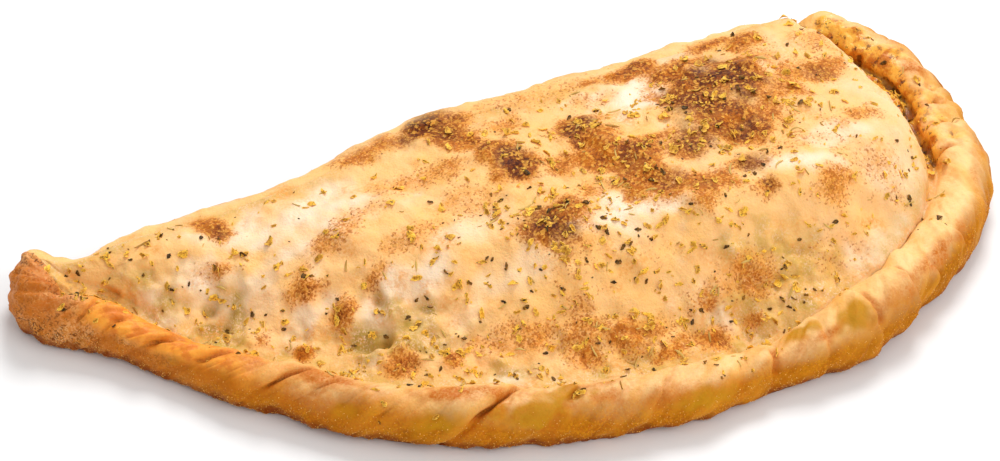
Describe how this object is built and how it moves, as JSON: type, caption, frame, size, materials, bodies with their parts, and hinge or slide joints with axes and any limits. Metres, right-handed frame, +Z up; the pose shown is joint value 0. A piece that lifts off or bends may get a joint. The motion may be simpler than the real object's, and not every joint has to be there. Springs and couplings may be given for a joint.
{
  "type": "calzone",
  "caption": "Folded baked calzone with a rolled and twisted front rim, browned top and dried oregano flakes.",
  "frame": {"origin": "middle of the base's bounding box, on the surface that the calzone lies on", "axes": "+X along the length from the slim left horn to the full right end, +Y from the rolled rim to the fold, +Z up"},
  "size_m": [0.3076, 0.1644, 0.042],
  "materials": {
    "baked_dough": "satin crust, matt where floured",
    "dried_herbs": "matt"
  },
  "bodies": {
    "root": {"calzone": "baked_dough"}
  },
  "joints": []
}
